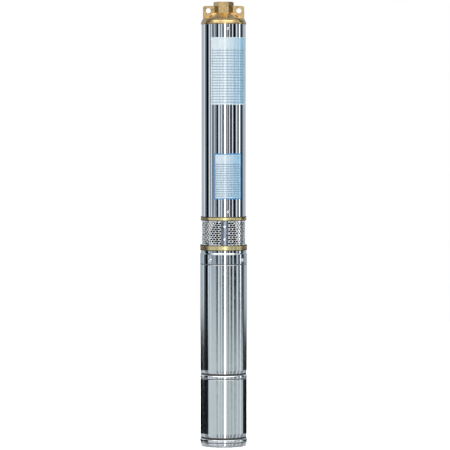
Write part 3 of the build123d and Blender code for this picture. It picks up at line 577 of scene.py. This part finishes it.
capacitor_seat = 22.6
capacitor_foot = cap_spigot_top - 6
cap_outline = [
    (0, 0, 0),
    (cap_radius - 8, 0, 2.5),
    (cap_radius - 1.4, 3.2, 2.2),
    (cap_radius - 0.4, 8.4, 0.4),
    (cap_radius - 1.1, 8.9, 0.2),
    (cap_radius - 1.1, 9.9, 0.2),
    (cap_radius, 10.6, 0.8),
    (cap_radius, 16.6, 1.8),
    (bore_radius - 0.6, 17.4, 0.4),
    (bore_radius - 0.6, cap_spigot_top, 0.5),
    (capacitor_seat, cap_spigot_top, 0.4),
    (capacitor_seat, capacitor_foot, 0),
    (0, capacitor_foot, 0),
]
foot_cap = finished("foot_cap", spun(cap_outline, closed=False), turned_steel)
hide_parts("bottom_cap")
print("cover", cover_bottom, motor_top, "housing", housing_bottom, housing_top, "cap", cap_spigot_top)

# %% [markdown]
# A black rubber ring closes each joint of the motor. The rings fill the grooves so that they give the
# dark lines of the grooves' shade: partly real seals, partly painted shade. The two under the rolled lips
# sit deep in their grooves, and the others show only as thin dark lines.

# %% Lay the seals, dark rings that stand in for groove shade, in the joints
def groove_shade_seal(name, inside, radius, bottom, top):
    outline = [(inside, bottom, 0), (radius, bottom, 0.2), (radius, top, 0.2), (inside, top, 0)]
    ring = finished(name, spun(outline, rounding_segments=2), inner_finishes["rubber"])
    return ring


groove_depth = 1.3
# Dark rubber rings in the grooves: painted shade for the groove lines.
groove_shade_seal("seal_and_shade_under_motor", bore_radius - 0.5, motor_radius - groove_depth, motor_bottom - 3.2, motor_bottom + 0.6)
groove_shade_seal("seal_and_shade_under_can", bore_radius - 0.5, can_radius - groove_depth, can_bottom - 3.4, can_bottom + 0.6)
groove_shade_seal("seal_and_shade_over_can", bore_radius - 0.5, can_radius - 0.25, can_top - 1.3, can_top + 0.2)
groove_shade_seal("seal_and_shade_in_cap", cap_radius - 2.0, cap_radius - 0.7, 8.7, 10.0)
groove_shade_seal("seal_and_shade_over_motor", bore_radius - 0.5, motor_radius - 0.25, motor_tube_top - 0.9, motor_tube_top + 0.3)
print("seals laid")

# %% [markdown]
# ## The brass head
# The head is one casting. A lathe has cut its rim, shoulder and cone, and a pipe wrench fits its hexagonal
# collar, whose upper corners are turned off at a slant. Two flat ears take the safety rope. The parts are
# made one by one and joined with Boolean modifiers, because that keeps them one closed casting, and the
# edges are eased afterwards. A real thread winds down the outlet.

# %% Helpers for castings
def joined(base, tool, operation):
    """Joins or cuts base with tool by a Boolean modifier, keeps the result and removes the tool."""
    base.modifiers.clear()
    modifier = base.modifiers.new("joint", "BOOLEAN")
    modifier.object = tool
    modifier.operation = operation
    modifier.solver = "EXACT"
    keep_modifiers(base)
    bpy.data.objects.remove(tool)
    return base


def keep_modifiers(piece):
    """Makes what the modifiers give the piece's own mesh."""
    bpy.context.view_layer.update()
    seen = piece.evaluated_get(bpy.context.evaluated_depsgraph_get())
    mesh = bpy.data.meshes.new_from_object(seen)
    piece.modifiers.clear()
    old = piece.data
    piece.data = mesh
    mesh.name = piece.name
    bpy.data.meshes.remove(old)


def eased(piece, width, segments=3, angle=radians(28)):
    """Rounds every sharp edge of a piece and smooths its faces again."""
    piece.modifiers.clear()
    modifier = piece.modifiers.new("ease", "BEVEL")
    modifier.width = width
    modifier.segments = segments
    modifier.limit_method = "ANGLE"
    modifier.angle_limit = angle
    modifier.use_clamp_overlap = True
    keep_modifiers(piece)
    piece.data.shade_smooth()
    piece.data.set_sharp_from_angle(angle=sharp_angle)
    return even_shading(piece)


def rod(radius, start, end, segments=64):
    """A round bar between two points, as a tool or a pin."""
    shape = bmesh.new()
    along = Vector(end) - Vector(start)
    bmesh.ops.create_cone(
        shape, cap_ends=True, segments=segments, radius1=radius, radius2=radius, depth=along.length
    )
    bmesh.ops.rotate(shape, verts=shape.verts, cent=(0, 0, 0), matrix=along.to_track_quat("Z", "Y").to_matrix())
    bmesh.ops.translate(shape, verts=shape.verts, vec=(Vector(start) + Vector(end)) / 2)
    return shape


print("casting helpers ready")

# %% Build the head
rim_radius, skirt_bottom, head_top = levels("discharge_head")
spigot_radius = pump_radius - tube_wall - 0.1
skirt_inside = spigot_radius - 4
outlet_radius = 15.15
thread_depth = 1.45
collar_flats = 38.0
collar_height = 24.0
ridge_level = pump_top + 13.2
collar_foot = head_top - collar_height
collar_corner = collar_flats / 2 / cos(radians(30))

body_outline = [
    (0, skirt_bottom, 0),
    (spigot_radius, skirt_bottom, 0.6),
    (spigot_radius, pump_top, 0),
    (rim_radius, pump_top, 0.5),
    (rim_radius, pump_top + 3.6, 0.9),
    (rim_radius - 1.0, pump_top + 4.9, 0.5),
    (rim_radius - 2.5, pump_top + 10.4, 4.5),
    (rim_radius - 5.9, ridge_level, 0.6),
    (rim_radius - 16, pump_top + 18.9, 8.0),
    (collar_corner + 0.6, collar_foot, 1.0),
    (0, collar_foot, 0),
]
head = finished("brass_head", spun(body_outline, closed=False), cast_brass)

hexagon = bmesh.new()
bmesh.ops.create_cone(
    hexagon, cap_ends=True, segments=6, radius1=collar_corner * mm, radius2=collar_corner * mm,
    depth=(collar_height + 4) * mm,
)
bmesh.ops.rotate(hexagon, verts=hexagon.verts, cent=(0, 0, 0), matrix=Matrix.Rotation(radians(30), 3, "Z"))
bmesh.ops.translate(hexagon, verts=hexagon.verts, vec=(0, 0, (head_top - collar_height / 2 - 2) * mm))
collar = finished("collar", hexagon, cast_brass)
chamfer_outline = [
    (0, collar_foot - 8, 0),
    (collar_corner + 3, collar_foot - 8, 0),
    (collar_corner + 3, head_top - 1.4 - 3 * 0.55, 0),
    (collar_corner - 2.55, head_top, 0),
    (0, head_top, 0),
]
collar = joined(collar, finished("chamfer", spun(chamfer_outline, closed=False, steps=96), cast_brass), "INTERSECT")
head = joined(head, collar, "UNION")

ear_reach = 45.2
ear_top = head_top - 8
ear_thickness = 6.0
ear_corner = 5.0
ear_hole_radius = 5.5
ear_hole_level = head_top - 19
ear_hole_reach = 33.4


def ear(side):
    """A flat plate whose foot lies inside the cone; its outer top corner is round."""
    plate = bmesh.new()
    outline = [(16, collar_foot - 5), (ear_reach, ridge_level - 4), (ear_reach, ear_top - 0.8), (16, ear_top)]
    corners = [plate.verts.new((side * x * mm, -ear_thickness / 2 * mm, z * mm)) for x, z in outline]
    face = plate.faces.new(corners)
    bmesh.ops.bevel(
        plate, geom=[corners[2]], offset=ear_corner * mm, offset_type="OFFSET", segments=8, profile=0.5,
        affect="VERTICES", material=-1,
    )
    grown = bmesh.ops.extrude_face_region(plate, geom=plate.faces[:])
    moved = [item for item in grown["geom"] if isinstance(item, bmesh.types.BMVert)]
    bmesh.ops.translate(plate, verts=moved, vec=(0, ear_thickness * mm, 0))
    bmesh.ops.recalc_face_normals(plate, faces=plate.faces)
    return plate


for side in (-1, 1):
    head = joined(head, finished("ear", ear(side), cast_brass), "UNION")
    level = ear_hole_level * mm
    reach = side * ear_hole_reach * mm
    hole = rod(ear_hole_radius * mm, (reach, -20 * mm, level), (reach, 20 * mm, level), segments=48)
    head = joined(head, finished("ear_hole", hole, cast_brass), "DIFFERENCE")

bore_outline = [
    (0, head_top + 1, 0),
    (outlet_radius + thread_depth + 1.6, head_top + 1, 0),
    (outlet_radius + thread_depth, head_top - 1.2, 0),
    (outlet_radius + thread_depth, collar_foot, 0),
    (outlet_radius, collar_foot - 1, 0),
    (outlet_radius, collar_foot - 5.5, 0),
    (skirt_inside, pump_top + 4, 0),
    (skirt_inside, skirt_bottom - 1, 0),
    (0, skirt_bottom - 1, 0),
]
head = joined(head, finished("bore", spun(bore_outline, closed=False, steps=96), cast_brass), "DIFFERENCE")
head = eased(head, 0.45 * mm)
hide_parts("discharge_head")
print("head faces", len(head.data.polygons), "from", skirt_bottom, "to", head_top)

# %% Wind the outlet thread
thread_pitch = 2.309
thread_start = collar_foot + 0.5
thread_turns = int((head_top - 2.2 - thread_start) / thread_pitch)
steps_per_turn = 48
groove = bmesh.new()
wall = (outlet_radius + thread_depth + 0.1) * mm
crest = outlet_radius * mm
half_base = 0.46 * thread_pitch * mm
start = thread_start * mm
rib = [
    groove.verts.new((wall, 0, start - half_base)),
    groove.verts.new((crest, 0, start - 0.15 * mm)),
    groove.verts.new((crest, 0, start + 0.15 * mm)),
    groove.verts.new((wall, 0, start + half_base)),
]
first_face = groove.faces.new(rib)
swept = bmesh.ops.spin(
    groove, geom=[first_face], cent=(0, 0, 0), axis=(0, 0, 1), dvec=(0, 0, thread_pitch / steps_per_turn * mm),
    angle=tau * thread_turns, steps=steps_per_turn * thread_turns, use_merge=False,
)
bmesh.ops.recalc_face_normals(groove, faces=groove.faces)
thread = finished("outlet_thread", groove, turned_brass)
print("thread turns", thread_turns)

# %% [markdown]
# ## The intake bracket
# The bracket joins pump and motor. Its two rings are turned bright and show above and below the strainer;
# its legs and arms stay rough inside, and their brass is coloured near black: its casting skin, darkened
# further as painted shade inside the strainer. The imported solid has that shape already, so it is copied,
# its loose triangles are merged and its edges eased, and two turned rings are laid round it as the machined
# bands.

# %% Dress the bracket and its rings
def copied(node, name, finish, ease):
    """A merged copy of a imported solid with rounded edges."""
    shape = bmesh.new()
    shape.from_mesh(frame["nodes"][node].data)
    bmesh.ops.remove_doubles(shape, verts=shape.verts, dist=0.002 * mm)
    bmesh.ops.dissolve_limit(shape, angle_limit=radians(1), verts=shape.verts, edges=shape.edges)
    piece = finished(name, shape, finish)
    piece = eased(piece, ease, segments=2)
    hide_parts(node)
    return piece


flange_radius, flange_bottom, bracket_top = levels("intake_bracket")
_, strainer_bottom, strainer_top = levels("strainer")
# The bracket gets the near-black brass: painted shade inside the strainer.
bracket = copied("intake_bracket", "intake_casting", skin_and_shade_brass, 0.3 * mm)


def band(name, radius, bottom, top, inside, rounding):
    outline = [
        (inside, bottom + 0.05, 0.2),
        (radius - 0.5, bottom + 0.05, 0.4),
        (radius, bottom + 1.2, rounding),
        (radius, top - 1.2, rounding),
        (radius - 0.6, top - 0.05, 0.4),
        (inside, top - 0.05, 0.2),
    ]
    ring = finished(name, spun(outline), turned_brass)
    return ring


lower_band = band("lower_brass_band", flange_radius + 0.02, flange_bottom, strainer_bottom, 47.2, 0.5)
upper_band = band("upper_brass_band", 49.82, strainer_top, pump_bottom, 46.8, 0.5)
print("bands", flange_bottom, strainer_bottom, strainer_top, pump_bottom)

# %% [markdown]
# ## The strainer
# The strainer is a sheet with eleven staggered rows of small oblong holes, wrapped round the bracket's
# legs and closed by two screws on a plain strip. It is punched flat, as in the workshop: one cell with one
# hole is filled by triangles, repeated along the sheet, welded, and then the flat sheet is bent round the
# pump. A Solidify modifier gives the sheet its thickness, with the hole walls.

# %% Punch and bend the strainer
screws_low, screws_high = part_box("strainer_screws")
seam_place = (screws_low + screws_high) / 2
seam_angle = degrees(atan2(seam_place.x, -seam_place.y))
sheet_radius = pump_radius
sheet_thickness = 0.8
seam_width = 15.4
hole_rows = 11
hole_columns = 40
hole_width = 5.85
hole_height = 3.55
hole_sides = 14
row_pitch = 4.4
sheet_length = tau * sheet_radius - seam_width + 1.0
hole_pitch = sheet_length / (hole_columns + 0.5)
sheet_height = strainer_top - strainer_bottom
field_bottom = (sheet_height - hole_rows * row_pitch) / 2 - 0.4


def punched_cell(sheet, x, z):
    """One cell of the sheet with an oblong hole in its middle, filled with triangles round the hole."""
    half_pitch, half_row = hole_pitch / 2, row_pitch / 2
    frame_points = [
        (-half_pitch, -half_row), (0, -half_row), (half_pitch, -half_row),
        (half_pitch, half_row), (0, half_row), (-half_pitch, half_row),
    ]
    straight = (hole_width - hole_height) / 2
    loops = [[(x + px, z + pz) for px, pz in frame_points], []]
    for side in range(hole_sides):
        angle = tau * (side + 0.5) / hole_sides
        shift = straight if cos(angle) > 0 else -straight
        loops[1].append((x + shift + cos(angle) * hole_height / 2, z + sin(angle) * hole_height / 2))
    edges = []
    for loop in loops:
        verts = [sheet.verts.new((px * mm, 0, pz * mm)) for px, pz in loop]
        edges += [sheet.edges.new(pair) for pair in zip(verts, verts[1:] + verts[:1])]
    bmesh.ops.triangle_fill(sheet, edges=edges, use_beauty=True, use_dissolve=False)


def plain_cell(sheet, left, right, bottom, top):
    corners = [(left, bottom), (right, bottom), (right, top), (left, top)]
    sheet.faces.new([sheet.verts.new((x * mm, 0, z * mm)) for x, z in corners])


def bent(sheet, radius, start_angle):
    """Bends a flat sheet, whose X is the arc length, round the pump from this angle on."""
    for vert in sheet.verts:
        angle = radians(start_angle) + vert.co.x / (radius * mm)
        out = radius * mm + vert.co.y
        vert.co = Vector((out * sin(angle), -out * cos(angle), vert.co.z))


sheet = bmesh.new()
for row in range(hole_rows):
    z = strainer_bottom + field_bottom + row_pitch * (row + 0.5)
    shift = hole_pitch / 2 * (row % 2)
    for column in range(hole_columns):
        punched_cell(sheet, shift + hole_pitch * (column + 0.5), z)
    end = hole_pitch * hole_columns
    if shift:
        plain_cell(sheet, 0, shift, z - row_pitch / 2, z + row_pitch / 2)
    else:
        plain_cell(sheet, end, end + hole_pitch / 2, z - row_pitch / 2, z + row_pitch / 2)
half_columns = 2 * hole_columns + 1
field_top = strainer_bottom + field_bottom + row_pitch * hole_rows
for column in range(half_columns):
    left, right = hole_pitch / 2 * column, hole_pitch / 2 * (column + 1)
    plain_cell(sheet, left, right, strainer_bottom + 0.1, strainer_bottom + field_bottom)
    plain_cell(sheet, left, right, field_top, strainer_top - 0.1)
bmesh.ops.remove_doubles(sheet, verts=sheet.verts, dist=0.01 * mm)
bent(sheet, sheet_radius - sheet_thickness, seam_angle + degrees(seam_width / 2 / sheet_radius) - 0.4)
bmesh.ops.recalc_face_normals(sheet, faces=sheet.faces)
bmesh.ops.solidify(sheet, geom=sheet.faces[:], thickness=-sheet_thickness * mm)
bmesh.ops.recalc_face_normals(sheet, faces=sheet.faces)
strainer = finished("punched_strainer", sheet, sheet_steel)
# The inner faces get the near-black steel: painted shade inside the strainer.
strainer.data.materials.append(inside_shade_steel)
for face in strainer.data.polygons:
    if face.normal.x * face.center.x + face.normal.y * face.center.y < -0.5 * sheet_radius * mm:
        face.material_index = 1
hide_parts("strainer")
print("holes", hole_rows * hole_columns, "faces", len(strainer.data.polygons), "seam at", round(seam_angle, 1))

# %% [markdown]
# The plain strip is the end of the sheet that laps over the other one, so it stands a sheet's thickness
# proud, and its long edge throws the thin bright line that the photograph shows at its left. Its steel is
# coloured far darker and bluer than the rest of the sheet: painted shade.

# %% Lay the seam strip
strip = bmesh.new()
strip_steps = 10
for step in range(strip_steps):
    left, right = seam_width * step / strip_steps, seam_width * (step + 1) / strip_steps
    plain_cell(strip, left, right, strainer_bottom + 0.2, strainer_top - 0.2)
bmesh.ops.remove_doubles(strip, verts=strip.verts, dist=0.01 * mm)
bent(strip, sheet_radius, seam_angle - degrees(seam_width / 2 / sheet_radius))
bmesh.ops.recalc_face_normals(strip, faces=strip.faces)
bmesh.ops.solidify(strip, geom=strip.faces[:], thickness=-0.6 * mm)
bmesh.ops.recalc_face_normals(strip, faces=strip.faces)
seam_strip = eased(finished("seam_strip", strip, shaded_strip_steel), 0.15 * mm, segments=2)
print("strip width", seam_width)

# %% [markdown]
# ## Screws
# The screws on the cover and on the strip are cross-recess screws with low domed heads. One head is turned
# and its cross is cut with two crossed wedges, then copies go to their places round the pump.

# %% Make the screw heads
def screw_head(radius, height, seat):
    """A domed head on the XY plane, its seat sunk a little, with a cross recess."""
    outline = [
        (0, -seat, 0),
        (radius - 0.3, -seat, 0),
        (radius, 0.2, 0.3),
        (radius * 0.93, height * 0.55, 0.8),
        (radius * 0.55, height * 0.96, 1.0),
        (0, height, 0),
    ]
    blank = finished("blank", spun(outline, closed=False, steps=32, rounding_segments=2), bright_steel)
    for turn_angle in (radians(20), radians(110)):
        blade = bmesh.new()
        bmesh.ops.create_cube(blade, size=1)
        size = Vector((radius * 1.25, radius * 0.34, height * 1.5)) * mm
        bmesh.ops.scale(blade, verts=blade.verts, vec=size)
        bmesh.ops.translate(blade, verts=blade.verts, vec=(0, 0, height * mm))
        bmesh.ops.rotate(blade, verts=blade.verts, cent=(0, 0, 0), matrix=Matrix.Rotation(turn_angle, 3, "Z"))
        blank = joined(blank, finished("blade", blade, bright_steel), "DIFFERENCE")
    head_mesh = blank.data
    bpy.data.objects.remove(blank)
    return head_mesh


def placed_round(name, mesh, places, finish):
    """Copies of a mesh at (angle, radius, height) places, facing away from the pump, as one piece."""
    group = bmesh.new()
    for angle, radius, height in places:
        before = len(group.verts)
        group.from_mesh(mesh)
        group.verts.ensure_lookup_table()
        new = group.verts[before:]
        outward = Vector((sin(radians(angle)), -cos(radians(angle)), 0))
        turned = outward.to_track_quat("Z", "Y").to_matrix()
        bmesh.ops.rotate(group, verts=new, cent=(0, 0, 0), matrix=turned)
        bmesh.ops.translate(group, verts=new, vec=outward * radius * mm + Vector((0, 0, height * mm)))
    return finished(name, group, finish)


def places_of(node):
    """The angle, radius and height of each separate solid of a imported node."""
    shape = bmesh.new()
    shape.from_mesh(frame["nodes"][node].data)
    bmesh.ops.remove_doubles(shape, verts=shape.verts, dist=0.002 * mm)
    waiting = set(shape.verts)
    places = []
    while waiting:
        island, edge_of_island = set(), [waiting.pop()]
        while edge_of_island:
            vert = edge_of_island.pop()
            island.add(vert)
            linked = {edge.other_vert(vert) for edge in vert.link_edges} & waiting
            waiting -= linked
            edge_of_island += linked
        centre = sum((vert.co for vert in island), Vector()) / len(island)
        places.append((degrees(atan2(centre.x, -centre.y)), centre.xy.length / mm, centre.z / mm))
    shape.free()
    return sorted(places)


cover_head = screw_head(4.75, 1.6, 0.6)
cover_places = [(angle, motor_radius, height) for angle, _, height in places_of("cover_screws")]
cover_heads = placed_round("cover_screw_heads", cover_head, cover_places, bright_steel)
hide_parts("cover_screws")
strip_head = screw_head(3.25, 1.5, 0.6)
strip_places = [(angle, sheet_radius + 0.6, height) for angle, _, height in places_of("strainer_screws")]
strip_heads = placed_round("strip_screw_heads", strip_head, strip_places, bright_steel)
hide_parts("strainer_screws")
print("cover screws at", [round(angle) for angle, _, _ in cover_places])

# %% [markdown]
# The pump tube is locked to the bracket and to the head by two small screws sunk in its wall. Their holes
# are drilled through the spun tube, and a screw with a round, tapered socket sits in each, its face just
# under the surface.

# %% Sink the lock screws
lock_places = places_of("tube_lock_screws")
lock_radius = 3.0
for angle, _, height in lock_places:
    outward = Vector((sin(radians(angle)), -cos(radians(angle)), 0))
    level = Vector((0, 0, height * mm))
    hole = rod((lock_radius + 0.15) * mm, outward * 44 * mm + level, outward * 52 * mm + level, segments=32)
    pump_tube = joined(pump_tube, finished("lock_hole", hole, pump_steel), "DIFFERENCE")
pump_tube.data.set_sharp_from_angle(angle=sharp_angle)
even_shading(pump_tube)
lock_outline = [(0, -1.2, 0), (lock_radius, -1.2, 0), (lock_radius, 0, 0.4), (1.6, 0.1, 0), (1.1, -1.0, 0), (0, -1.0, 0)]
lock_blank = finished("lock_blank", spun(lock_outline, closed=False, steps=24, rounding_segments=2), bright_steel)
lock_mesh = lock_blank.data
bpy.data.objects.remove(lock_blank)
lock_screws = placed_round(
    "lock_screws", lock_mesh, [(angle, pump_radius - 0.3, height) for angle, _, height in lock_places], bright_steel
)
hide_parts("tube_lock_screws")
print("lock screws at", [round(angle) for angle, _, _ in lock_places])

# %% [markdown]
# ## Stickers
# Two film stickers are wrapped on the pump tube. They carry no words here, only the ruled lines of an
# empty form, as a blank sticker has. Each is a bent sheet with its own UV map, so the rules follow the
# sheet round the tube, and a thin clear layer gives it the gloss of film.

# %% Print and stick the stickers
def ruled(tree, coordinate, count, thickness, low, high):
    """1 on count evenly spaced lines between low and high of a coordinate from 0 to 1."""
    spread = calculate(tree, "MULTIPLY", calculate(tree, "SUBTRACT", coordinate, low), count / (high - low))
    phase = calculate(tree, "FRACT", spread)
    line = calculate(tree, "LESS_THAN", phase, thickness * count / (high - low))
    inside = calculate(tree, "MULTIPLY", calculate(tree, "GREATER_THAN", coordinate, low), calculate(tree, "LESS_THAN", coordinate, high))
    return calculate(tree, "MULTIPLY", line, inside)


def sticker_finish(name, left_tint, right_tint, ink, border, border_width, aspect, rows, columns):
    """Film with a tint that deepens to the right, ruled rows and columns, and a border."""
    material, tree, shader = new_finish(name)
    uv = wire(tree, "ShaderNodeSeparateXYZ", {0: wire(tree, "ShaderNodeTexCoord").outputs["UV"]})
    across, up = uv.outputs["X"], uv.outputs["Y"]
    colour = blend_colours(tree, fade(tree, across, 0.25, 0.95), left_tint, right_tint)
    lines = ruled(tree, up, *rows)
    colour = blend_colours(tree, calculate(tree, "MULTIPLY", lines, 0.75), colour, ink)
    if columns:
        below_title = calculate(tree, "LESS_THAN", up, rows[3])
        posts = calculate(tree, "MULTIPLY", ruled(tree, across, *columns), below_title)
        colour = blend_colours(tree, calculate(tree, "MULTIPLY", posts, 0.6), colour, ink)
    from_side = calculate(tree, "SUBTRACT", 0.5, calculate(tree, "ABSOLUTE", calculate(tree, "SUBTRACT", across, 0.5)))
    from_end = calculate(tree, "SUBTRACT", 0.5, calculate(tree, "ABSOLUTE", calculate(tree, "SUBTRACT", up, 0.5)))
    nearest = calculate(tree, "MINIMUM", calculate(tree, "MULTIPLY", from_side, aspect), from_end)
    edge = calculate(tree, "LESS_THAN", nearest, border_width)
    colour = blend_colours(tree, edge, colour, border)
    tree.links.new(colour, shader.inputs["Base Color"])
    film = object_grain(tree, 180, detail=2)
    tree.links.new(fade(tree, film, 0.3, 0.7, 0.28, 0.38), shader.inputs["Roughness"])
    shader.inputs["Coat Weight"].default_value = 1.0
    shader.inputs["Coat Roughness"].default_value = 0.08
    shader.inputs["Coat IOR"].default_value = 1.8
    return material


def sticker(name, left, right, bottom, top, finish):
    """A film sheet on the pump tube between two angles and two heights, with a UV map of its own."""
    film_radius = pump_radius + 0.06
    length = radians(right - left) * film_radius
    film = bmesh.new()
    bmesh.ops.create_grid(film, x_segments=48, y_segments=8, size=0.5)
    layer = film.loops.layers.uv.new("UVMap")
    for face in film.faces:
        for loop in face.loops:
            loop[layer].uv = (loop.vert.co.x + 0.5, loop.vert.co.y + 0.5)
    for vert in film.verts:
        place = vert.co.copy()
        vert.co = Vector(((place.x + 0.5) * length * mm, 0, (bottom + (place.y + 0.5) * (top - bottom)) * mm))
    bent(film, film_radius, left)
    bmesh.ops.recalc_face_normals(film, faces=film.faces)
    bmesh.ops.solidify(film, geom=film.faces[:], thickness=-0.1 * mm)
    bmesh.ops.recalc_face_normals(film, faces=film.faces)
    return finished(name, film, finish)


form_ink = (0.09, 0.16, 0.24)
form_finish = sticker_finish(
    "form_sticker_film", (0.45, 0.51, 0.55), (0.19, 0.35, 0.47), form_ink, (0.44, 0.52, 0.58), 0.008, 0.62,
    rows=(20, 0.013, 0.03, 0.84), columns=(5, 0.010, 0.04, 0.97),
)
form_sticker = sticker("form_sticker", -35, 72.6, 748, 894, form_finish)
frame_blue = (0.03, 0.15, 0.32)
frame_finish = sticker_finish(
    "bordered_sticker_film", (0.40, 0.47, 0.52), (0.18, 0.34, 0.47), form_ink, frame_blue, 0.026, 0.65,
    rows=(15, 0.022, 0.06, 0.80), columns=None,
)
bordered_sticker = sticker("bordered_sticker", -25, 52.7, 542, 642, frame_finish)
print("stickers", form_sticker.name, bordered_sticker.name)
